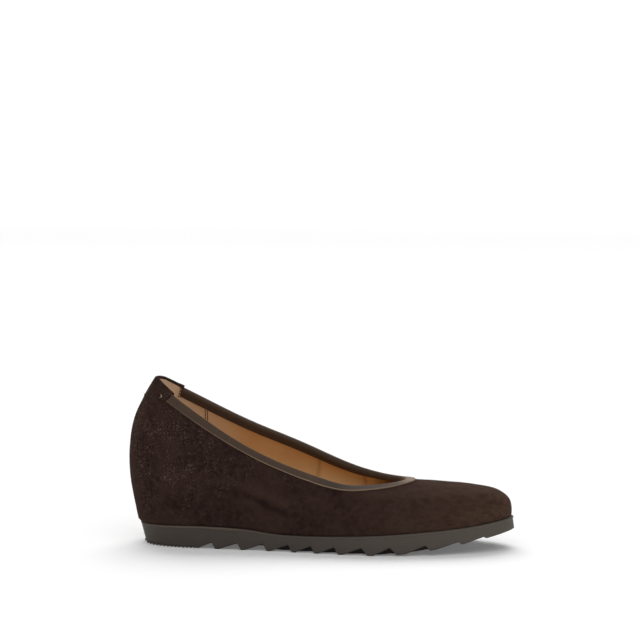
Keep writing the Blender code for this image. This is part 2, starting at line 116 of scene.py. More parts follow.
# Inwards the notches get shallower: slowly behind the waist and at the toe, in a short step under the ball
NOTCH_CHANGE = (0.085, 0.105, 0.202, 0.212)
INNER_NOTCH = (0.55, 0.12, 0.12, 0.60)
NOTCH_FADE = (0.014, 0.0055, 0.0055, 0.014)
FADE_POWER = (1.0, 7.0, 7.0, 1.0)
WIDEST_FADE = 0.4
SPRING_START = 0.166
SPRING_POWER = 1.5
HEEL_BEVEL = 0.0014
HEEL_BEVEL_LENGTH = 0.011
MOULD_ROUND = 0.00025
RIB_HEIGHT = 0.0007
RIB_FREE = 0.0004
STATION_STEP = 0.0022
END_LENGTH = 0.02
END_STATIONS = 24
MERGED = 1e-7
# The rim's section, from its top down: inset from the lip and drop, in millimetres
LIP = ((0.9, 0.0), (0.55, 0.12), (0.15, 0.5), (0.0, 0.85), (0.0, 1.1), (0.12, 1.4), (0.4, 1.8))
# Rows of the lip that are paler along the heel and the waist, and how much along the sole
PALE_LIP_ROWS = slice(1, 4)
PALE_LIP_AT = (0.008, 0.025, 0.070, 0.105, 0.20)
PALE_LIP = (0.1, 0.6, 0.8, 0.2, 0.12)
SIDE_SHARES = (0.25, 0.5, 0.75, 0.93)
UNDER_SHARES = (0.04, 0.35, 0.65, 0.8, 0.9, 1.0)


def column(table, name):
    """One named column of a table."""
    return np.array([getattr(row, name) for row in table], float)


def slopes(knots, values, closed):
    """Slopes at the knots of the smoothest cubic curve through the values."""
    count = len(values)
    steps = np.diff(knots)
    rises = np.diff(np.append(values, values[0])) / steps if closed else np.diff(values) / steps
    system = np.zeros((count, count))
    right = np.zeros(count)
    for i in range(count):
        if not closed and i in (0, count - 1):
            system[i, i] = 2.0
            system[i, 1 if i == 0 else count - 2] = 1.0
            right[i] = 3.0 * rises[0 if i == 0 else -1]
            continue
        before = 1.0 / steps[i - 1]
        after = 1.0 / steps[i]
        system[i, i - 1] += before
        system[i, i] += 2.0 * (before + after)
        system[i, (i + 1) % count] += after
        right[i] = 3.0 * (rises[i - 1] * before + rises[i] * after)
    return np.linalg.solve(system, right)


def smooth(knots, values, at, closed=False):
    """Values at the places in `at` on the smooth curve; a closed one has one knot more than values."""
    slope = slopes(knots, values, closed)
    if closed:
        values = np.append(values, values[0])
        slope = np.append(slope, slope[0])
    at = np.clip(at, knots[0], knots[-1])
    i = np.clip(np.searchsorted(knots, at, side="right") - 1, 0, len(knots) - 2)
    step = knots[i + 1] - knots[i]
    t = (at - knots[i]) / step
    start = values[i] * (1 + 2 * t) * (1 - t) ** 2 + slope[i] * step * t * (1 - t) ** 2
    return start + values[i + 1] * t**2 * (3 - 2 * t) + slope[i + 1] * step * t**2 * (t - 1)


def rim(name, x):
    """A column of RIMS at x, in metres."""
    return smooth(column(RIMS, "along") * MM, column(RIMS, name) * MM, x)


def there_and_back(lateral, medial):
    """Two columns of SECTIONS as one row, from the toe by the lateral side to the heel and back."""
    return np.concatenate([column(SECTIONS, lateral), column(SECTIONS, medial)[-2::-1]])


def last_loop(lateral, medial=None):
    """A column of SECTIONS, or a pair of them, as a smooth loop round the last."""
    return smooth(LOOP_KNOTS, there_and_back(lateral, medial or lateral)[:-1], LOOP_PLACES, closed=True)


def outward(loop_x, loop_y):
    """Plan normals of a loop that runs from the toe by the lateral side."""
    along_x = np.roll(loop_x, -1) - np.roll(loop_x, 1)
    along_y = np.roll(loop_y, -1) - np.roll(loop_y, 1)
    size = np.hypot(along_x, along_y)
    return np.stack([-along_y / size, along_x / size, np.zeros_like(size)], axis=1)


knot_x = there_and_back("foot_along", "foot_along") * LENGTH
knot_y = there_and_back("foot_lateral", "foot_medial") * BALL_WIDTH
LOOP_KNOTS = np.concatenate([[0.0], np.cumsum(np.hypot(np.diff(knot_x), np.diff(knot_y)) / 100)])
LOOP_PLACES = np.concatenate(
    [
        np.linspace(0.0, LOOP_KNOTS[len(SECTIONS) - 1], SIDE_STATIONS, endpoint=False),
        np.linspace(LOOP_KNOTS[len(SECTIONS) - 1], LOOP_KNOTS[-1], SIDE_STATIONS, endpoint=False),
    ]
)
foot_x = last_loop("foot_along") * LENGTH / 100
foot_y = last_loop("foot_lateral", "foot_medial") * BALL_WIDTH / 100
foot_out = outward(foot_x, foot_y)


class SoleOutline:
    """The sole's plan outline at one level: lateral and medial y for a share of the way from heel to toe."""

    def __init__(self, inset):
        out = rim("ledge", foot_x) - inset
        x = foot_x + foot_out[:, 0] * out
        y = foot_y + foot_out[:, 1] * out
        self.lateral = (x[SIDE_STATIONS::-1], y[SIDE_STATIONS::-1])
        self.medial = (np.append(x[SIDE_STATIONS:], x[0]), np.append(y[SIDE_STATIONS:], y[0]))
        self.ends = (x[SIDE_STATIONS], x[0])

    def pair(self, share):
        x = self.ends[0] + (self.ends[1] - self.ends[0]) * share
        return x, np.interp(x, *self.lateral), np.interp(x, *self.medial)


def tread_depth(x):
    """Depth of the notches at x, with the mould's small rounding of every edge."""
    spread = np.array([-1.0, 0.0, 1.0]) * MOULD_ROUND
    return float(np.interp(x + spread, tread_places, tread_depths).mean())


def ground_line(x):
    """Height of the tread's crests: on the floor, rising at the toe and a little at the back of the heel."""
    spring = max((x - SPRING_START) / (LENGTH - SPRING_START), 0.0) ** SPRING_POWER * TOE_SPRING
    back = LENGTH * SECTIONS[-1].foot_along / 100 + (RIMS[0].tuck - RIMS[0].ledge) * MM
    bevel = max(1 - (x - back) / HEEL_BEVEL_LENGTH, 0.0) ** 2 * HEEL_BEVEL
    return spring + max(bevel, RIB_HEIGHT if x < HEEL_BLOCK_END else 0.0)


def put(name, data):
    """A new object in the scene, with this mesh, lamp or camera."""
    holder = bpy.data.objects.new(name, data)
    bpy.context.scene.collection.objects.link(holder)
    return holder


def loft(name, rings, material, closed=False, sharp=35, chart=None):
    """One closed mesh through rings of points, faces outwards; a chart gives each point its own values."""
    rings = np.asarray(rings)
    count, size = rings.shape[:2]
    faces = []
    for i in range(count if closed else count - 1):
        n = (i + 1) % count
        for k in range(size):
            m = (k + 1) % size
            faces.append((i * size + k, i * size + m, n * size + m, n * size + k))
    if not closed:
        faces += [list(range(size)), list(range((count - 1) * size, count * size))]
    mesh = bpy.data.meshes.new(name)
    mesh.from_pydata((rings.reshape(-1, 3) - shift).tolist(), [], faces)
    if chart is not None:
        layer = mesh.attributes.new("chart", "FLOAT_VECTOR", "POINT")
        layer.data.foreach_set("vector", np.asarray(chart, float).reshape(-1))
    bm = bmesh.new()
    bm.from_mesh(mesh)
    bmesh.ops.remove_doubles(bm, verts=bm.verts, dist=MERGED)
    bmesh.ops.recalc_face_normals(bm, faces=bm.faces)
    bm.to_mesh(mesh)
    bm.free()
    mesh.shade_smooth()
    mesh.set_sharp_from_angle(angle=math.radians(sharp))
    mesh.materials.append(material)
    return put(name, mesh)


def linear(code):
    """An sRGB hex colour as linear values."""
    parts = [int(code[i : i + 2], 16) / 255 for i in (1, 3, 5)]
    return (*[c / 12.92 if c <= 0.04045 else ((c + 0.055) / 1.055) ** 2.4 for c in parts], 1.0)


def wire(tree, node, sockets):
    """Sets inputs, each to a value, to an output, or to the output that another node has in use."""
    for key, value in sockets.items():
        if isinstance(value, bpy.types.Node):
            value = next(output for output in value.outputs if output.enabled)
        if isinstance(value, bpy.types.NodeSocket):
            tree.links.new(value, node.inputs[key])
        else:
            node.inputs[key].default_value = value


def add(tree, kind, sockets=None, **settings):
    """One node with its settings, then its inputs."""
    node = tree.nodes.new(kind)
    for key, value in settings.items():
        setattr(node, key, value)
    wire(tree, node, sockets or {})
    return node


def finish_of(name, **sockets):
    """A new material with uniform values set on its shader."""
    material = bpy.data.materials.new(name)
    material.use_nodes = True
    shader = material.node_tree.nodes["Principled BSDF"]
    wire(material.node_tree, shader, {key.replace("_", " "): value for key, value in sockets.items()})
    return material, material.node_tree, shader


# Moulded rubber: matt, brown-grey, with a faint cloudiness from the mould and dust in its pores. The lip is
# paler along the heel and the waist, the whole sole is a little paler towards the toe, and the tread's
# underside is painted dark, as painted shade that shows inside the notches.
RUBBER_CLOUD = 0.018
RUBBER_PORE = 0.0007
rubber, tree, shader = finish_of("moulded_rubber", Specular_IOR_Level=0.18)
place = add(tree, "ShaderNodeTexCoord").outputs["Object"]
cloud = add(tree, "ShaderNodeTexNoise", {"Vector": place, "Scale": 1 / RUBBER_CLOUD, "Detail": 4.0})
pores = add(tree, "ShaderNodeTexNoise", {"Vector": place, "Scale": 1 / RUBBER_PORE, "Detail": 2.0})
axes = add(tree, "ShaderNodeSeparateXYZ", {"Vector": place}).outputs
# The sole grows paler towards the toe
paler_to_toe = add(
    tree, "ShaderNodeMapRange", {"Value": axes["X"], "From Min": -0.09, "From Max": 0.11, "To Max": 0.8}
)
own = add(tree, "ShaderNodeAttribute", attribute_name="chart")
charted = add(tree, "ShaderNodeSeparateXYZ", {"Vector": own.outputs["Vector"]}).outputs
tone = linear("#443d37")
for share, colour in (
    (cloud, "#4c453f"),
    (paler_to_toe, "#5d564f"),
    (charted["X"], "#6a5a50"),
    # The underside's dark tone is painted shade that shows inside the notches
    (charted["Y"], "#27211d"),
):
    tone = add(tree, "ShaderNodeMix", {0: share, 6: tone, 7: linear(colour)}, data_type="RGBA")
rough = add(tree, "ShaderNodeMapRange", {"Value": pores, "To Min": 0.52, "To Max": 0.72})
dent = add(tree, "ShaderNodeBump", {"Strength": 0.25, "Distance": 0.0001, "Height": pores})
wire(tree, shader, {"Base Color": tone, "Roughness": rough, "Normal": dent})

tread_places = [0.0, HEEL_BLOCK_END]
tread_depths = [0.0, 0.0]
for tooth in TEETH:
    tread_places += [(tooth.crest - tooth.run) * MM, tooth.crest * MM, (tooth.crest + tooth.land) * MM]
    tread_depths += [tooth.depth * MM, 0.0, 0.0]
lip_outlines = [(SoleOutline(inset * MM), drop * MM) for inset, drop in LIP]
edge_outline = SoleOutline(rim("tuck", foot_x))
heel_end, toe_end = edge_outline.ends
ends = END_LENGTH * (np.arange(END_STATIONS) / END_STATIONS) ** 2
marks = np.concatenate([heel_end + ends, toe_end - ends])
corners = np.array(tread_places)
corners = corners[(corners > heel_end) & (corners < toe_end)]
marks = np.concatenate([marks, corners, corners - MOULD_ROUND, corners + MOULD_ROUND])
marks = np.unique(np.round(marks, 6))
sole_stations = [marks[0]]
for x in marks[1:]:
    parts = math.ceil((x - sole_stations[-1]) / STATION_STEP)
    sole_stations += list(np.linspace(sole_stations[-1], x, parts + 1)[1:])
sole_rings = []
sole_chart = []
for station in sole_stations:
    share = (station - heel_end) / (toe_end - heel_end)
    sides = []
    for outline, drop in lip_outlines:
        x, lateral, medial = outline.pair(share)
        height = float(rim("top", x)) - drop
        sides.append(np.array([(x, lateral, height), (x, medial, height)]))
    x, lateral, medial = edge_outline.pair(share)
    ground = ground_line(x)
    notch = tread_depth(x)
    free = RIB_FREE if x < HEEL_BLOCK_END else 0.0
    edge = np.array([(x, lateral, ground + notch + free), (x, medial, ground + notch + free)])
    start = sides[-1]
    sides += [start + (edge - start) * part for part in SIDE_SHARES]
    full_fade = float(np.interp(x, NOTCH_CHANGE, NOTCH_FADE))
    fade = min(full_fade, (medial - lateral) * WIDEST_FADE)
    left = float(np.interp(x, NOTCH_CHANGE, INNER_NOTCH))
    inner = notch * (left + (1 - left) * (1 - fade / full_fade))
    power = float(np.interp(x, NOTCH_CHANGE, FADE_POWER))
    for part in UNDER_SHARES:
        height = ground + notch + (inner - notch) * part**power
        sides.append(np.array([(x, lateral + fade * part, height), (x, medial - fade * part, height)]))
    sole_rings.append([side[0] for side in sides] + [side[1] for side in sides[::-1]])
    marked = np.zeros((len(sides), 3))
    marked[PALE_LIP_ROWS, 0] = np.interp(x, PALE_LIP_AT, PALE_LIP)
    # The tread's underside is painted dark, as painted shade inside the notches
    marked[-len(UNDER_SHARES) :, 1] = 1.0
    sole_chart.append(np.concatenate([marked, marked[::-1]]))
sole_rings = np.array(sole_rings)
# The solids stand with the middle of their box on the origin, so the same measures are set to their place.
sole_box = [np.array(corner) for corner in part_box("outsole")]
own_box = (sole_rings.reshape(-1, 3).min(axis=0), sole_rings.reshape(-1, 3).max(axis=0))
shift = (own_box[0] + own_box[1] - sole_box[0] - sole_box[1]) / 2
shift[2] = 0.0
outsole = loft("rubber_outsole", sole_rings, rubber, sharp=28, chart=sole_chart)
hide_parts("outsole")
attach(outsole, "root")

# Heel ribs
# Fine round bars across the underside of the heel block, moulded with the sole for grip. The block itself
# stands on them.
RIB_PITCH = 0.0026
RIB_RADIUS = 0.0006
RIB_STRETCH = 1.5
RIB_SHORT = 0.0001
RIB_START = 0.0112
RIB_SIDES = 10


def node_tree(name, inputs):
    """An empty Geometry Nodes tree with these named inputs; returns it and its group input's outputs."""
    made = bpy.data.node_groups.new(name, "GeometryNodeTree")
    made.interface.new_socket("Geometry", in_out="INPUT", socket_type="NodeSocketGeometry")
    for label, kind in inputs:
        made.interface.new_socket(label, in_out="INPUT", socket_type=kind)
    made.interface.new_socket("Geometry", in_out="OUTPUT", socket_type="NodeSocketGeometry")
    return made, made.nodes.new("NodeGroupInput").outputs


def grown(name, points, edges, attributes, tree, values):
    """Points and edges with attributes, run through the tree with these input values, as a plain mesh."""
    mesh = bpy.data.meshes.new(name)
    mesh.from_pydata([tuple(p) for p in points], edges, [])
    for label, kind, field, data in attributes:
        mesh.attributes.new(label, kind, "POINT").data.foreach_set(field, np.asarray(data, float).reshape(-1))
    carrier = put(name, mesh)
    modifier = carrier.modifiers.new("grow", "NODES")
    modifier.node_group = tree
    for item in tree.interface.items_tree:
        if item.in_out == "INPUT" and item.name in values:
            modifier[item.identifier] = values[item.name]
    graph = bpy.context.evaluated_depsgraph_get()
    plain = bpy.data.meshes.new_from_object(carrier.evaluated_get(graph))
    plain.name = name
    bpy.data.objects.remove(carrier)
    return put(name, plain)


def realized(tree, instances, material):
    """Ends a tree: its instances are made real, get their material and are put out."""
    real = add(tree, "GeometryNodeRealizeInstances", {"Geometry": instances})
    painted = add(tree, "GeometryNodeSetMaterial", {"Geometry": real, "Material": material})
    add(tree, "NodeGroupOutput", {"Geometry": painted})


ribs, given = node_tree(
    "across_bars",
    [("Radius", "NodeSocketFloat"), ("Sides", "NodeSocketInt"), ("Material", "NodeSocketMaterial")],
)
bar = add(ribs, "GeometryNodeCurvePrimitiveLine", {"Start": (0, -0.5, 0), "End": (0, 0.5, 0)})
round_bar = add(
    ribs, "GeometryNodeCurvePrimitiveCircle", {"Resolution": given["Sides"], "Radius": given["Radius"]}
)
rod = add(ribs, "GeometryNodeCurveToMesh", {"Curve": bar, "Profile Curve": round_bar, "Fill Caps": True})
width = add(ribs, "GeometryNodeInputNamedAttribute", {"Name": "across"}, data_type="FLOAT")
spread = add(ribs, "ShaderNodeCombineXYZ", {"X": 1.0, "Y": width, "Z": RIB_STRETCH})
points = add(ribs, "GeometryNodeMeshToPoints", {"Mesh": given["Geometry"]})
placed = add(ribs, "GeometryNodeInstanceOnPoints", {"Points": points, "Instance": rod, "Scale": spread})
realized(ribs, placed, given["Material"])

rib_x = np.arange(RIB_START, HEEL_BLOCK_END, RIB_PITCH)
rib_points = []
rib_widths = []
for x in rib_x:
    lateral = float(np.interp(x, *edge_outline.lateral))
    medial = float(np.interp(x, *edge_outline.medial))
    lift_off = max(ground_line(x) - RIB_HEIGHT, 0.0)
    rib_points.append(np.array([x, (lateral + medial) / 2, RIB_RADIUS * RIB_STRETCH + lift_off]) - shift)
    rib_widths.append(medial - lateral - 2 * RIB_SHORT)
heel_ribs = grown(
    "heel_ribs",
    rib_points,
    [],
    [("across", "FLOAT", "value", rib_widths)],
    ribs,
    {"Radius": RIB_RADIUS, "Sides": RIB_SIDES, "Material": rubber},
)
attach(heel_ribs, "root")

# Wedge
# A block of pressed cork between sole and footbed. The upper is lasted round it, so none of it shows.
CORK_GRAIN = 0.0028
CORK_DUST = 0.0007
# Pressed cork: dull, in chips from dark to light brown, with fine pits
cork, tree, shader = finish_of("pressed_cork", Roughness=0.9, Specular_IOR_Level=0.2)
place = add(tree, "ShaderNodeTexCoord").outputs["Object"]
grain = add(tree, "ShaderNodeTexVoronoi", {"Vector": place, "Scale": 1 / CORK_GRAIN})
dust = add(tree, "ShaderNodeTexNoise", {"Vector": place, "Scale": 1 / CORK_DUST, "Detail": 3.0})
chip = add(tree, "ShaderNodeSeparateColor", {"Color": grain.outputs["Color"]}).outputs["Red"]
tone = add(tree, "ShaderNodeMix", {0: chip, 6: linear("#8c6b45"), 7: linear("#b8925f")}, data_type="RGBA")
pit = add(tree, "ShaderNodeBump", {"Strength": 0.4, "Distance": 0.0004, "Height": dust})
wire(tree, shader, {"Base Color": tone, "Normal": pit})
for place_in_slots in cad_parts["wedge_heel"].material_slots:
    place_in_slots.material = cork

# Upper
# Dark brown suede, cut in one shell from the toe to the back of the heel and lasted under its foot. Its nap
# is loose and flecked over the heel quarter and brushed flat towards the toe.
WALL = 0.0020
SUEDE = 0.0011
PROFILE_STEPS = 60
SUEDE_ROWS = 76
LASTED_EDGE = 0.0013
LASTED_TURN = 0.0006
HIDDEN_STEP = 4
top_x = last_loop("top_along") * LENGTH / 100
top_y = last_loop("top_lateral", "top_medial") * BALL_WIDTH / 100
top_z = THROAT_HEIGHT + last_loop("climb_lateral", "climb_medial") / 100 * (BACK_HEIGHT - THROAT_HEIGHT)


def bezier(start, start_handle, end_handle, end):
    """A cubic curve for every station, as points from its start to its end."""
    t = np.linspace(0.0, 1.0, PROFILE_STEPS + 1)[None, :, None]
    first = start[:, None] * (1 - t) ** 3 + start_handle[:, None] * 3 * t * (1 - t) ** 2
    return first + end_handle[:, None] * 3 * t**2 * (1 - t) + end[:, None] * t**3


wall_foot = np.stack([foot_x, foot_y, rim("top", foot_x) + GAP], axis=1)
wall_top = np.stack([top_x, top_y, top_z], axis=1)
straight_up = np.array([0.0, 0.0, 1.0])
foot_lean = np.radians(last_loop("foot_lean"))[:, None]
top_lean = np.radians(last_loop("top_lean"))[:, None]
foot_way = np.cos(foot_lean) * straight_up + np.sin(foot_lean) * foot_out
rise = np.cos(top_lean) * straight_up - np.sin(top_lean) * outward(top_x, top_y)
wall_height = np.linalg.norm(wall_top - wall_foot, axis=1)[:, None]
low_handle = wall_foot + foot_way * wall_height * last_loop("foot_pull")[:, None]
high_handle = wall_top - rise * wall_height * last_loop("top_pull")[:, None]
middle_handle = (low_handle + high_handle) / 2 + foot_out * last_loop("belly")[:, None] * MM
half_way = (low_handle + 2 * middle_handle + high_handle) / 4
lower_half = bezier(wall_foot, low_handle, (low_handle + middle_handle) / 2, half_way)
upper_half = bezier(half_way, (middle_handle + high_handle) / 2, high_handle, wall_top)
wall = np.concatenate([lower_half[:, :-1], upper_half], axis=1)
wall_normal = np.cross(np.gradient(wall, axis=1), np.roll(wall, -1, axis=0) - np.roll(wall, 1, axis=0))
wall_normal /= np.linalg.norm(wall_normal, axis=2, keepdims=True)
wall_steps = np.linalg.norm(np.diff(wall, axis=1), axis=2)
wall_depth = np.zeros(wall.shape[:2])
wall_depth[:, :-1] = np.cumsum(wall_steps[:, ::-1], axis=1)[:, ::-1]
wall_reach = wall_depth[:, 0]


def at_station(i, depths, offsets):
    """Points of a whole station these distances below the collar edge and out of the wall."""
    depths = np.asarray(depths, float)
    inside = np.maximum(depths, 0.0)
    known = wall_depth[i, ::-1]
    place = np.stack([np.interp(inside, known, wall[i, ::-1, axis]) for axis in range(3)], axis=-1)
    normal = np.stack([np.interp(inside, known, wall_normal[i, ::-1, axis]) for axis in range(3)], axis=-1)
    return place + normal * np.asarray(offsets)[..., None] - rise[i] * np.minimum(depths, 0.0)[..., None]


def at(station, depth, offset):
    """One point, at a station that may lie between two whole ones."""
    first = int(math.floor(station))
    share = station - first
    here = at_station(first % COUNT, depth, offset)
    return here * (1 - share) + at_station((first + 1) % COUNT, depth, offset) * share


def station_at(x, medial):
    """The station where the collar edge passes x, on one side of the heel."""
    stations = np.arange(SIDE_STATIONS, COUNT + 1) if medial else np.arange(SIDE_STATIONS, -1, -1)
    edge = wall[stations % COUNT, -1, 0]
    return float(np.interp(x, edge[: SIDE_STATIONS // 2], stations[: SIDE_STATIONS // 2]))


# Soft creases on the lateral wall, in millimetres: each from one place to another, along and up, with the
# height of its ridge, or depth of its trough, and its half width
Crease = namedtuple("Crease", "start_along start_up end_along end_up height width")
CREASES = (
    Crease(79.0, 37.5, 97.0, 30.5, -0.55, 2.2),
    Crease(91.0, 31.0, 111.0, 23.8, -0.65, 2.3),
    Crease(125.6, 29.0, 125.2, 15.0, -0.30, 1.6),
    Crease(86.5, 41.0, 113.0, 28.0, 0.35, 3.0),
    Crease(50.0, 46.5, 84.0, 42.0, 0.40, 3.2),
    Crease(54.0, 42.0, 80.0, 38.0, -0.30, 2.8),
    Crease(30.0, 33.0, 44.0, 20.0, -0.25, 4.0),
    Crease(118.0, 33.0, 134.0, 24.0, -0.30, 2.6),
)
WAVE_HEIGHT = 0.00012
WAVE_LENGTH = 0.031
WAVE_SLANT = 0.6
CROSS_SLANT = (-0.4, 1.0, 0.7)
# A crease keeps its height this share of its length each way from its middle, and then fades
CREASE_FULL = 0.3
CREASE_FADE = 0.16
SMOOTH_FOOT = 0.06


def crease_offset(points, lateral):
    """How far the suede stands off its smooth form: listed creases and a faint unevenness."""
    x, z = points[..., 0], points[..., 2]
    turn = 2 * math.pi / WAVE_LENGTH
    crossing = np.sin(turn * (points @ np.array(CROSS_SLANT)))
    total = WAVE_HEIGHT * np.sin(turn * (x + WAVE_SLANT * z)) * crossing
    for crease in CREASES:
        start = np.array([crease.start_along, crease.start_up]) * MM
        along = np.array([crease.end_along, crease.end_up]) * MM - start
        length = np.linalg.norm(along)
        share = ((x - start[0]) * along[0] + (z - start[1]) * along[1]) / length**2
        off = ((x - start[0]) * along[1] - (z - start[1]) * along[0]) / length
        taper = np.exp(-((np.clip(np.abs(share - 0.5) - CREASE_FULL, 0, None) / CREASE_FADE) ** 2))
        total = total + lateral * crease.height * MM * taper * np.exp(-((off / (crease.width * MM)) ** 2))
    return total


# Brushed suede: no gloss, a soft pile that lightens at grazing angles, cloudy where it was brushed both ways.
# Its flecks are lifted fibres with dark gaps beside them, drawn about twice as coarse as they are to show.
# The toe is painted lighter, as painted light, broken into paler strokes of the brush along the shoe.
# Crease troughs are painted darker as painted shade, and crease ridges lighter as painted light.
SUEDE_CLOUD = 0.021
SUEDE_PATCH = 0.009
SUEDE_MOTTLE = 0.0042
SUEDE_STROKE = (0.0075, 0.0034, 0.0024)
SUEDE_FLECK = 0.0010
SUEDE_PILE = 0.00055
SHADED_RELIEF = 0.0008
suede, tree, shader = finish_of(
    "brushed_brown_suede",
    Roughness=0.95,
    Specular_IOR_Level=0.03,
    Sheen_Weight=0.10,
    Sheen_Roughness=0.5,
    Sheen_Tint=linear("#7a5a48"),
    Diffuse_Roughness=0.8,
)
place = add(tree, "ShaderNodeTexCoord").outputs["Object"]
cloud = add(tree, "ShaderNodeTexNoise", {"Vector": place, "Scale": 1 / SUEDE_CLOUD, "Detail": 3.0})
mottle = add(
    tree, "ShaderNodeTexNoise", {"Vector": place, "Scale": 1 / SUEDE_MOTTLE, "Detail": 4.0, "Roughness": 0.65}
)
fleck = add(
    tree, "ShaderNodeTexNoise", {"Vector": place, "Scale": 1 / SUEDE_FLECK, "Detail": 2.0, "Distortion": 1.2}
)
pile = add(
    tree, "ShaderNodeTexNoise", {"Vector": place, "Scale": 1 / SUEDE_PILE, "Detail": 3.0, "Roughness": 0.7}
)
patches = add(tree, "ShaderNodeTexNoise", {"Vector": place, "Scale": 1 / SUEDE_PATCH, "Detail": 2.0})
strokes = add(tree, "ShaderNodeMapping", {"Vector": place, "Scale": [1 / size for size in SUEDE_STROKE]})
stroke = add(tree, "ShaderNodeTexNoise", {"Vector": strokes, "Scale": 1.0, "Detail": 3.0})
axes = add(tree, "ShaderNodeSeparateXYZ", {"Vector": place}).outputs
relief_share = add(tree, "ShaderNodeAttribute", attribute_name="chart").outputs["Fac"]
# What each effect is read from, the readings between which it grows, and the shares that it grows between
effects = {}
for name, source, start, end, least, most in (
    ("from_heel", axes["X"], 0.01, -0.075, 0.02, 0.52),
    ("from_floor", axes["Z"], 0.026, 0.064, -0.50, 0.0),
    ("under_tab", axes["Z"], 0.080, 0.092, 0.0, 0.45),
    ("spots", patches, 0.38, 0.64, -0.26, 0.44),
    ("lifted", fleck, 0.57, 0.70, 0.0, 1.0),
    ("sunken", fleck, 0.44, 0.30, 0.0, 1.0),
    ("swept", cloud, 0.36, 0.66, 0.0, 1.0),
    ("brushed", mottle, 0.40, 0.68, 0.0, 0.65),
    # Painted light towards the toe
    ("to_toe", axes["X"], 0.02, 0.125, 0.0, 1.0),
    ("stroked", stroke, 0.34, 0.66, 0.34, 0.74),
    # Painted shade in the crease troughs and painted light on the crease ridges
    ("trough_shade", relief_share, -0.08, -0.9, 0.0, 0.55),
    ("ridge_light", relief_share, 0.12, 0.6, 0.0, 0.5),
):
    between = {"From Min": start, "From Max": end, "To Min": least, "To Max": most}
    effects[name] = add(tree, "ShaderNodeMapRange", {"Value": source, **between})
for name, first, second, way, limited in (
    ("quarter", "from_heel", "from_floor", "ADD", False),
    ("upper_heel", "quarter", "under_tab", "SUBTRACT", False),
    ("loose", "upper_heel", "spots", "ADD", True),
    ("gaps", "sunken", "loose", "MULTIPLY", False),
    ("flecks", "lifted", "loose", "MULTIPLY", False),
    ("toe_light_and_strokes", "to_toe", "stroked", "MULTIPLY", False),
):
    pair = {0: effects[first], 1: effects[second]}
    effects[name] = add(tree, "ShaderNodeMath", pair, operation=way, use_clamp=limited)
tone = linear("#2e201d")
for name, colour in (
    ("swept", "#3c2c26"),
    ("brushed", "#463530"),
    ("toe_light_and_strokes", "#5c473a"),
    ("trough_shade", "#1a100e"),
    ("ridge_light", "#4d3b33"),
    ("gaps", "#170e0c"),
    ("flecks", "#7e685e"),
):
    tone = add(tree, "ShaderNodeMix", {0: effects[name], 6: tone, 7: linear(colour)}, data_type="RGBA")
tufts = add(tree, "ShaderNodeBump", {"Strength": 0.35, "Distance": 0.0006, "Height": mottle})
nap = add(tree, "ShaderNodeBump", {"Strength": 0.55, "Distance": 0.00025, "Height": pile, "Normal": tufts})
wire(tree, shader, {"Base Color": tone, "Normal": nap})

suede_rings = []
suede_chart = []
for i in range(COUNT):
    shares = np.linspace(0.0, 1.0, SUEDE_ROWS)
    depths = wall_reach[i] * (1 - shares)
    turned = np.clip(1 - (wall_reach[i] - depths) / LASTED_EDGE, 0.0, 1.0) ** 2 * LASTED_TURN
    smooth_form = at_station(i, depths, 0.0)
    relief = crease_offset(smooth_form, float(i <= SIDE_STATIONS)) * np.clip(shares / SMOOTH_FOOT, 0.0, 1.0)
    outer = at_station(i, depths, relief - turned)
    inner_depths = wall_reach[i] * np.linspace(0.0, 1.0, SUEDE_ROWS // HIDDEN_STEP)
    inner = at_station(i, inner_depths, -SUEDE)
    suede_rings.append(np.concatenate([outer, inner]))
    # The crease relief, which sets the painted shade in troughs and the painted light on ridges
    suede_chart.append(np.concatenate([relief, np.zeros(len(inner))])[:, None] / SHADED_RELIEF * np.ones(3))
upper = loft("suede_upper", suede_rings, suede, closed=True, sharp=50, chart=suede_chart)
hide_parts("upper")
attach(upper, "root")

# Lining
# Tan calf leather, glued inside the suede and turned under the footbed, with its pieces sewn edge to edge.
# It is matt: a fine even grain with a slight warm cloudiness, painted paler at the heel as painted light
# and darker at the throat as painted shade.
LINING_OUT = 0.00115
LINING_ROWS = 41
LINING_BELOW_TOP = 0.0005
# Closed seams of the lining's medial side: where they cross the throat's height, and how far they lean
LINING_SEAMS = ((0.1189, 0.15), (0.1489, -0.10))
SEAM_WIDTH = 0.0009
SEAM_GROOVE = 0.0002
SEAM_SHADE = 0.5
# Towards the throat the lining is painted darker, as painted shade in the corner under the vamp
THROAT_DARKENS = (0.1545, 0.1675)
THROAT_SHADE = 0.9
TAB_LATERAL_END = 0.0306
TAB_MEDIAL_END = 0.0322
TAB_RISE_AT = (0.0, 0.15, 0.45, 0.8, 1.0)
TAB_RISE = (0.0021, 0.0026, 0.0033, 0.0032, 0.0028)
LEATHER_CLOUD = 0.016
LEATHER_GRAIN = 0.0009
tan_leather, tree, shader = finish_of("tan_calf_leather", Roughness=0.62, Specular_IOR_Level=0.28)
place = add(tree, "ShaderNodeTexCoord").outputs["Object"]
cloud = add(tree, "ShaderNodeTexNoise", {"Vector": place, "Scale": 1 / LEATHER_CLOUD, "Detail": 4.0})
grain = add(
    tree, "ShaderNodeTexVoronoi", {"Vector": place, "Scale": 1 / LEATHER_GRAIN}, feature="DISTANCE_TO_EDGE"
)
axes = add(tree, "ShaderNodeSeparateXYZ", {"Vector": place}).outputs
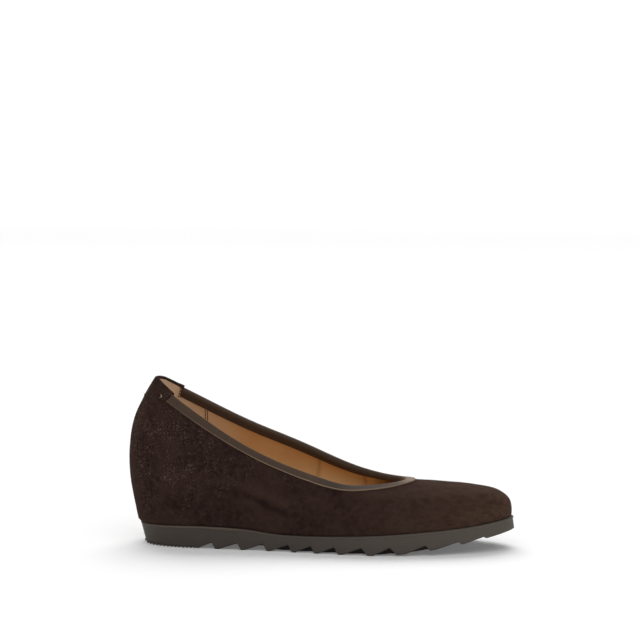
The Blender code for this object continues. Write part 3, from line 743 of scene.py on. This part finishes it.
# Painted light at the heel
heel_painted_light = add(
    tree, "ShaderNodeMapRange", {"Value": axes["X"], "From Min": -0.05, "From Max": -0.10, "To Max": 0.8}
)
own = add(tree, "ShaderNodeAttribute", attribute_name="chart")
charted = add(tree, "ShaderNodeSeparateXYZ", {"Vector": own.outputs["Vector"]}).outputs
tone = linear("#ca9b66")
for share, colour in (
    (cloud, "#ddb480"),
    (heel_painted_light, "#f0dac2"),
    (charted["X"], "#8a5c34"),
    # Painted shade towards the throat
    (charted["Y"], "#4a321f"),
):
    tone = add(tree, "ShaderNodeMix", {0: share, 6: tone, 7: linear(colour)}, data_type="RGBA")
cells = add(tree, "ShaderNodeBump", {"Strength": 0.25, "Distance": 0.00015, "Height": grain})
wire(tree, shader, {"Base Color": tone, "Normal": cells})

tab_ends = (station_at(TAB_LATERAL_END, False), station_at(TAB_MEDIAL_END, True))
tab_middle = (tab_ends[0] + tab_ends[1]) / 2
tab_half = (tab_ends[1] - tab_ends[0]) / 2


def tab_rise(away):
    """Height of the tab over the collar edge, by the share of the way from its middle to an end."""
    return np.interp(away, TAB_RISE_AT, TAB_RISE)


lining_rings = []
lining_chart = []
for i in range(COUNT):
    away = abs(i - tab_middle) / tab_half
    top = -(tab_rise(away) - LINING_BELOW_TOP) * np.clip((1 - away) * tab_half, 0.0, 1.0)
    depths = top + (wall_reach[i] - top) * np.linspace(0.0, 1.0, LINING_ROWS)
    out_depths = depths[::-HIDDEN_STEP]
    level = at_station(i, depths, -WALL)
    seam = np.zeros(len(depths))
    for along, lean in LINING_SEAMS:
        off = level[:, 0] - along - lean * (level[:, 2] - THROAT_HEIGHT)
        seam += np.exp(-((off / SEAM_WIDTH) ** 2)) * (i > SIDE_STATIONS)
    face = at_station(i, depths, -WALL + SEAM_GROOVE * seam)
    back = at_station(i, out_depths, -LINING_OUT)
    lining_rings.append(np.concatenate([face, back]))
    marked = np.zeros((len(face) + len(back), 3))
    marked[: len(face), 0] = seam * SEAM_SHADE
    # Painted shade towards the throat's corner
    marked[: len(face), 1] = np.interp(level[:, 0], THROAT_DARKENS, (0.0, THROAT_SHADE))
    lining_chart.append(marked)
lining = loft("leather_lining", lining_rings, tan_leather, closed=True, sharp=50, chart=lining_chart)
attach(lining, "root")

# Footbed
# A leather-covered board from wall to wall over the wedge and the sole, with a shallow cup for the heel.
HEEL_LIFT = 0.0362
INSOLE = 0.0030
HEEL_CUP = 0.0015
CUP_END = 0.095
CUP_WIDTH = BALL_WIDTH / 2
BED_STEP = 2
SETTLING_ROUNDS = 3
ACROSS = 13
Lift = namedtuple("Lift", "along share")
LIFTS = (
    Lift(2.0, 100.0),
    Lift(12.0, 97.5),
    Lift(20.0, 90.0),
    Lift(28.0, 75.5),
    Lift(36.0, 57.0),
    Lift(44.0, 37.5),
    Lift(52.0, 19.5),
    Lift(60.0, 6.5),
    Lift(66.0, 1.0),
    Lift(70.0, 0.0),
    Lift(100.0, 0.0),
)


def floor_height(x):
    """Height of the footbed's underside at x, over the wedge or over the sole."""
    share = smooth(column(LIFTS, "along"), column(LIFTS, "share"), x / LENGTH * 100)
    lifted_by = HEEL_LIFT * np.maximum(share, 0.0) / 100
    return rim("top", x) + GAP + lifted_by + np.where(lifted_by > 0, GAP, 0.0)


def beside_wall(i, over):
    """The point of the inner wall at a whole station, this far over the footbed's underside."""
    depths = np.linspace(0.0, wall_reach[i], 2 * PROFILE_STEPS)[::-1]
    inner = at_station(i, depths, -WALL - GAP)
    x = foot_x[i]
    for _ in range(SETTLING_ROUNDS):
        height = float(floor_height(np.array(x))) + over
        point = np.array([np.interp(height, inner[:, 2], inner[:, axis]) for axis in range(3)])
        x = point[0]
    point[2] = height
    return point


bed_rings = []
for i in range(0, SIDE_STATIONS + 1, BED_STEP):
    pair = (i, (COUNT - i) % COUNT)
    under = [beside_wall(k, 0.0) for k in pair]
    over = [beside_wall(k, INSOLE) for k in pair]
    wide = min(1.0, (over[1][1] - over[0][1]) / CUP_WIDTH)
    cup = HEEL_CUP * max(0.0, 1 - over[0][0] / CUP_END) * wide
    face = []
    for share in np.linspace(0.0, 1.0, ACROSS):
        point = over[0] * (1 - share) + over[1] * share
        point[2] -= cup * 4 * share * (1 - share)
        face.append(point)
    bed_rings.append([under[0], *face, under[1]])
footbed = loft("leather_footbed", bed_rings, tan_leather, sharp=60)
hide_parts("insole")
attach(footbed, "root")

# Binding
# A strip of smooth dark leather folded over the collar edge from one end of the heel tab to the other, its
# two legs stitched through the upper. Its lower edge shows as a pale line.
BINDING = 0.0008
OUTER_LEG = 0.0056
INNER_LEG = 0.0054
FOLD_HEIGHT = 0.0014
LATERAL_SKEW = 0.5
MEDIAL_SKEW = 0.12
TUCK_UNDER = 0.0016
END_GROOVE = 0.0007
END_BLEND = 0.012
LEG_LEFT = (1.0, 0.79, 0.79, 0.92)
LEG_TAPER = (0.024, 0.060, 0.095, 0.130)
EDGE_FADE = (0.010, 0.075)
EDGE_SHOWN = (0.3, 1.0)
STRIP_STATIONS = 420
# Round the front of the throat a highlight is painted on the leather, for so many stations each way
HIGHLIGHT_STATIONS = 20
FOLD_ANGLES = np.radians(np.linspace(0, 180, 13))
# The pale edge as millimetres up the leg, share of the thickness and share of the pale colour
PALE_EDGE = ((0.0, 0.5, 1.0), (0.12, 0.85, 1.0), (0.35, 1.0, 1.0), (0.6, 1.0, 0.0))
OUTER_SHARES = (0.19, 0.35, 0.55, 0.78)
INNER_SHARES = ((0.33, 1.0), (0.66, 1.0), (0.94, 1.0), (1.0, 0.5))

# Smooth glazed leather: satin, close-grained, with faint streaks across the strip where it was drawn round
# the collar. Its cut edge is paler, and a highlight is painted round the front of the throat.
STREAK_ALONG = 0.0011
STREAK_ACROSS = 0.009
# On the outer side it is darker this far round from the front of the throat
DARKENED_AT = 0.046
DARKENED_TO = (0.014, 0.030)
DARKENED = 0.55
glazed, tree, shader = finish_of("glazed_dark_leather", Specular_IOR_Level=0.08)
own = add(tree, "ShaderNodeAttribute", attribute_name="chart")
drawn = add(
    tree,
    "ShaderNodeMapping",
    {"Vector": own.outputs["Vector"], "Scale": (1 / STREAK_ALONG, 1 / STREAK_ACROSS, 0.0)},
)
streak = add(tree, "ShaderNodeTexNoise", {"Vector": drawn, "Scale": 1.0, "Detail": 3.0})
charted = add(tree, "ShaderNodeSeparateXYZ", {"Vector": own.outputs["Vector"]}).outputs
from_middle = add(tree, "ShaderNodeMath", {0: charted["X"], 1: DARKENED_AT}, operation="SUBTRACT")
distance = add(tree, "ShaderNodeMath", {0: from_middle}, operation="ABSOLUTE")
fading = {"From Min": DARKENED_TO[0], "From Max": DARKENED_TO[1], "To Min": DARKENED, "To Max": 0.0}
darker_round_throat = add(tree, "ShaderNodeMapRange", {"Value": distance, **fading})
tone = linear("#46382f")
# The pale colour serves both the pale lower edge and the painted highlight round the throat
for share, colour in ((streak, "#56463a"), (darker_round_throat, "#2a1f18"), (charted["Z"], "#86725f")):
    tone = add(tree, "ShaderNodeMix", {0: share, 6: tone, 7: linear(colour)}, data_type="RGBA")
rough = add(tree, "ShaderNodeMapRange", {"Value": streak, "To Min": 0.52, "To Max": 0.66})
pulled = add(tree, "ShaderNodeBump", {"Strength": 0.18, "Distance": 0.0002, "Height": streak})
wire(tree, shader, {"Base Color": tone, "Roughness": rough, "Normal": pulled})

collar_step = np.linalg.norm(np.roll(wall_top, -1, axis=0) - wall_top, axis=1)
end_steps = [float(collar_step[int(end) % COUNT]) for end in tab_ends]
strip_start = tab_ends[1] - COUNT - TUCK_UNDER / end_steps[1]
strip_end = tab_ends[0] - END_GROOVE / end_steps[0]


def skewed(station, depth):
    """A strip station drawn back near the two cut ends, which are square to the strip and not to the sole."""
    from_start = (station - strip_start) * end_steps[1]
    to_end = (strip_end - station) * end_steps[0]
    back = -MEDIAL_SKEW * depth / end_steps[1] * max(0.0, 1 - from_start / END_BLEND)
    return station + back + LATERAL_SKEW * depth / end_steps[0] * max(0.0, 1 - to_end / END_BLEND)


def strip_section():
    """The strip's section as depths, offsets and shares of pale edge: up the outside, over, down, and back.
    """
    face = GAP + BINDING
    section = []
    for drop, worn, pale_edge in PALE_EDGE:
        section.append((OUTER_LEG - drop * MM, GAP + BINDING * worn, pale_edge))
    for share in OUTER_SHARES:
        section.append((OUTER_LEG * (1 - share), face, 0.0))
    for angle in FOLD_ANGLES:
        section.append((-FOLD_HEIGHT * math.sin(angle), (WALL / 2 + face) * math.cos(angle) - WALL / 2, 0.0))
    for share, worn in INNER_SHARES:
        section.append((INNER_LEG * share, -WALL - GAP - BINDING * worn, 0.0))
    for depth, offset in ((INNER_LEG, -WALL), (INNER_LEG / 2, -WALL), (0.0, -WALL), (0.0, 0.0)):
        section.append((depth, offset + math.copysign(GAP, offset), 0.0))
    return section + [(OUTER_LEG / 2, GAP, 0.0), (OUTER_LEG, GAP, 1.0)]


section = strip_section()
section_steps = np.linalg.norm(np.diff(np.array(section)[:, :2], axis=0), axis=1)
across = np.concatenate([[0.0], np.cumsum(section_steps)])
strip_rings = []
strip_chart = []
for station in np.linspace(strip_start, strip_end, STRIP_STATIONS):
    from_end = min((station - strip_start) * end_steps[1], (strip_end - station) * end_steps[0])
    leg = float(np.interp(from_end, LEG_TAPER, LEG_LEFT))
    ring = []
    for depth, offset, _ in section:
        drop = depth * leg if offset > 0 else depth
        ring.append(at(skewed(station, drop), drop, offset))
    strip_rings.append(ring)
    along = np.interp(station % COUNT, np.arange(COUNT), np.cumsum(collar_step))
    edge = float(np.interp(from_end, EDGE_FADE, EDGE_SHOWN))
    # A painted highlight round the front of the throat
    near_throat = max(0.0, 1 - abs(station) / HIGHLIGHT_STATIONS)
    throat_highlight = near_throat**2 * (3 - 2 * near_throat)
    strip_chart.append([(along, far, max(part[2] * edge, throat_highlight)) for far, part in zip(across, section)])
strip = loft("leather_binding", strip_rings, glazed, sharp=50, chart=strip_chart)
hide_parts("topline_binding")
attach(strip, "root")

# Heel tab
# A saddle of the same suede over the back of the collar, a little higher than the binding, whose ends are
# tucked under it. Its ends are cut askew and its lower edge is sewn down.
TAB_STEP = 0.00018
TAB_DEPTH = 0.0132
TAB_END_DEPTH = 0.0056
TAB_INSIDE = 0.0013
TAB_ROUNDING = 0.0007
TAB_LIFT = 0.00115
TAB_LIFT_RUN = 0.0042
TAB_CURVE = 2.2
TAB_LIFT_CURVE = 0.7
TAB_EDGE = 0.35
TAB_EDGE_RUN = 0.0005
TAB_ROWS = 22
TAB_STATIONS = 96
TAB_ROUND = np.radians(np.linspace(0, 180, 9))


def tab_section(share):
    """The tab's section at a share of the way round it, as depths and offsets."""
    away = abs(2 * share - 1)
    low = TAB_DEPTH + (TAB_END_DEPTH - TAB_DEPTH) * away**TAB_CURVE
    from_end = (1 - away) / 2 * tab_length
    face = TAB_STEP + TAB_LIFT * max(0.0, 1 - from_end / TAB_LIFT_RUN) ** TAB_LIFT_CURVE
    inner = WALL + GAP
    top = -float(tab_rise(away))
    rows = []
    for k in range(TAB_ROWS + 1):
        depth = low + (top + TAB_ROUNDING - low) * k / TAB_ROWS
        worn = TAB_EDGE + (1 - TAB_EDGE) * min(1.0, (low - depth) / TAB_EDGE_RUN)
        rows.append((depth, face * worn))
    half = (face + inner) / 2
    for angle in TAB_ROUND[1:]:
        rows.append((top + TAB_ROUNDING * (1 - math.sin(angle)), half * math.cos(angle) + face - half))
    rows += [(top + TAB_INSIDE, -inner), (top + TAB_INSIDE, -WALL), (top + LINING_BELOW_TOP, -WALL)]
    return rows + [(top + LINING_BELOW_TOP, 0.0), (0.0, 0.0), (low, 0.0)]


def round_tab(share, depth):
    """The station at a share of the way round the tab, whose cut ends are askew."""
    lateral = tab_ends[0] + LATERAL_SKEW * depth / end_steps[0]
    medial = tab_ends[1] - MEDIAL_SKEW * depth / end_steps[1]
    return lateral + (medial - lateral) * share


tab_length = float(collar_step[int(tab_ends[0]) : int(tab_ends[1])].sum())
tab_rings = []
for share in np.linspace(0.0, 1.0, TAB_STATIONS):
    tab_rings.append([at(round_tab(share, depth), depth, offset) for depth, offset in tab_section(share)])
tab = loft("suede_heel_tab", tab_rings, suede, sharp=60)
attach(tab, "root")

# Stitches
# Dark rows along the tab's lower edge, down its inner end and on both sides of the lining's seam near the
# heel, and a pale crossed tack where the tab's lower edge meets the binding.
THREAD = 0.00050
SEAM_THREAD = 0.0007
STITCH_LENGTH = 0.0013
STITCH_GAP = 0.0017
SEAM_PLACES = (0.0462, 0.0476)
SEAM_DEPTHS = (0.0052, 0.0150)
SEAM_POINTS = 12
END_ROW_BACK = 0.00216
END_ROW_DEPTHS = (-0.0008, 0.0062)
END_ROW_POINTS = 8
EDGE_ROW_UP = 0.0012
EDGE_ROW_SHARES = (0.05, 0.95)
EDGE_ROW_POINTS = 60
THREAD_PROUD = THREAD * 0.1

# Waxed thread: slightly glossy, its twist showing as lighter and darker turns
threads = []
for name, roughness, gloss, low, high in (
    ("dark_waxed_thread", 0.6, 0.2, "#1d1512", "#3a2b24"),
    ("pale_waxed_thread", 0.55, 0.3, "#8d7664", "#c9b09a"),
):
    thread, tree, shader = finish_of(name, Roughness=roughness, Specular_IOR_Level=gloss)
    place = add(tree, "ShaderNodeTexCoord").outputs["Object"]
    twist = add(tree, "ShaderNodeTexNoise", {"Vector": place, "Scale": 1 / THREAD, "Detail": 1.0})
    tone = add(tree, "ShaderNodeMix", {0: twist, 6: linear(low), 7: linear(high)}, data_type="RGBA")
    wire(tree, shader, {"Base Color": tone})
    threads.append(thread)
dark_thread, pale_thread = threads

sewing, given = node_tree(
    "thread_along_line",
    [
        ("Spacing", "NodeSocketFloat"),
        ("Stitch", "NodeSocketFloat"),
        ("Thread", "NodeSocketFloat"),
        ("Material", "NodeSocketMaterial"),
    ],
)
line = add(sewing, "GeometryNodeMeshToCurve", {"Mesh": given["Geometry"]})
spaced = add(sewing, "GeometryNodeResampleCurve", {"Curve": line, "Length": given["Spacing"]}, mode="LENGTH")
bead = add(sewing, "GeometryNodeMeshUVSphere", {"Segments": 10, "Rings": 8, "Radius": 0.5})
tangent = add(sewing, "GeometryNodeInputTangent")
along_line = add(sewing, "FunctionNodeAlignRotationToVector", {"Vector": tangent}, axis="X")
form = add(sewing, "ShaderNodeCombineXYZ", {"X": given["Stitch"], "Y": given["Thread"], "Z": given["Thread"]})
laid = add(
    sewing,
    "GeometryNodeInstanceOnPoints",
    {"Points": spaced, "Instance": bead, "Rotation": along_line, "Scale": form},
)
realized(sewing, laid, given["Material"])


def chains(lines):
    """Several lines of points as one list of points and the edges between neighbours."""
    points = []
    edges = []
    for line_points in lines:
        first = len(points)
        points += [np.asarray(point) - shift for point in line_points]
        edges += [(k, k + 1) for k in range(first, len(points) - 1)]
    return points, edges


seam_lines = []
for x in SEAM_PLACES:
    station = station_at(x, True)
    depths = np.linspace(*SEAM_DEPTHS, SEAM_POINTS)
    seam_lines.append([at(station, depth, -WALL - THREAD_PROUD) for depth in depths])
end_station = tab_ends[1] - END_ROW_BACK / end_steps[1]
end_row = []
for depth in np.linspace(*END_ROW_DEPTHS, END_ROW_POINTS):
    end_row.append(at(end_station - MEDIAL_SKEW * depth / end_steps[1], depth, -WALL - THREAD_PROUD))
seam_lines.append(end_row)
lining_stitches = grown(
    "lining_stitches",
    *chains(seam_lines),
    [],
    sewing,
    {"Spacing": STITCH_GAP, "Stitch": STITCH_GAP, "Thread": SEAM_THREAD, "Material": dark_thread},
)
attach(lining_stitches, "root")

edge_line = []
for share in np.linspace(*EDGE_ROW_SHARES, EDGE_ROW_POINTS):
    depth = tab_section(share)[0][0] - EDGE_ROW_UP
    edge_line.append(at(round_tab(share, depth), depth, TAB_STEP + THREAD_PROUD))
tab_stitches = grown(
    "tab_stitches",
    *chains([edge_line]),
    [],
    sewing,
    {"Spacing": STITCH_GAP, "Stitch": STITCH_LENGTH, "Thread": THREAD, "Material": dark_thread},
)
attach(tab_stitches, "root")

TACK_ALONG = 0.0257
TACK_DEPTH = 0.0050
TACK_ARM = 0.0009
TACK_OFFSET = TAB_STEP + THREAD * 0.4
TACK_STITCH = THREAD * 1.6
tack_station = station_at(TACK_ALONG, False)
arm = TACK_ARM / end_steps[0]
tack_lines = []
for lean in (-1, 1):
    ends = [(tack_station + lean * arm * t, TACK_DEPTH + TACK_ARM * t) for t in (-1, 0, 1)]
    tack_lines.append([at(station, depth, TACK_OFFSET) for station, depth in ends])
tack = grown(
    "tack_stitches",
    *chains(tack_lines),
    [],
    sewing,
    {"Spacing": THREAD, "Stitch": TACK_STITCH, "Thread": THREAD, "Material": pale_thread},
)
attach(tack, "root")

# Stage
# A white sweep that glows a little, more where it curves up, in a bright studio with one large soft lamp
# behind and above the shoe and a weaker one in front.
FLOOR = 2.6
SWEEP_RADIUS = 0.5
SWEEP_TOP = 0.8
SWEEP_TURNS = np.radians(np.linspace(15, 90, 6))
STUDIO_LIGHT = 0.28
matt_white, tree, shader = finish_of(
    "lit_white_sweep",
    Base_Color=linear("#f2f2f2"),
    Roughness=1.0,
    Specular_IOR_Level=0.0,
    Emission_Color=linear("#ffffff"),
)
place = add(tree, "ShaderNodeTexCoord").outputs["Object"]
axes = add(tree, "ShaderNodeSeparateXYZ", {"Vector": place}).outputs
rising = {"From Min": 0.0, "From Max": 0.12, "To Min": 0.13, "To Max": 0.80}
glow = add(tree, "ShaderNodeMapRange", {"Value": axes["Z"], **rising})
wire(tree, shader, {"Emission Strength": glow})
sweep = [(-FLOOR, 0.0), (FLOOR, 0.0)]
for turn in SWEEP_TURNS:
    sweep.append((FLOOR + SWEEP_RADIUS * math.sin(turn), SWEEP_RADIUS * (1 - math.cos(turn))))
sweep.append((FLOOR + SWEEP_RADIUS, SWEEP_TOP))
floor_mesh = bpy.data.meshes.new("floor")
floor_mesh.from_pydata(
    [(side, y, z) for y, z in sweep for side in (-FLOOR, FLOOR)],
    [],
    [(2 * k, 2 * k + 1, 2 * k + 3, 2 * k + 2) for k in range(len(sweep) - 1)],
)
floor_mesh.shade_smooth()
floor_mesh.materials.append(matt_white)
floor = put("floor", floor_mesh)

world = bpy.data.worlds.new("studio")
world.use_nodes = True
backdrop = world.node_tree.nodes["Background"]
wire(world.node_tree, backdrop, {"Color": (1.0, 1.0, 1.0, 1.0), "Strength": STUDIO_LIGHT})
bpy.context.scene.world = world
bpy.context.scene.view_settings.view_transform = "Standard"

for name, energy, spread, travel in (
    ("back_lamp", 2.05, 46, (0.12, -0.56, -0.82)),
    ("front_lamp", 0.75, 60, (-0.15, 0.55, -0.82)),
):
    lamp = bpy.data.lights.new(name, "SUN")
    lamp.energy = energy
    lamp.angle = math.radians(spread)
    put(name, lamp).rotation_euler = Vector(travel).to_track_quat("-Z", "Y").to_euler()

CAMERA_PLACE = np.array([0.29259648, -1.95780879, 0.33603787])
CAMERA_AIM = np.array([-0.00222057, 0.01335732, 0.14473292])
CAMERA_LENS = 173.644
camera_data = bpy.data.cameras.new("camera")
camera_data.sensor_width = 36.0
camera_data.lens = CAMERA_LENS
camera = put("camera", camera_data)
look = Vector(CAMERA_AIM - CAMERA_PLACE)
camera.location = CAMERA_PLACE
camera.rotation_euler = look.to_track_quat("-Z", "Y").to_euler()
bpy.context.scene.camera = camera
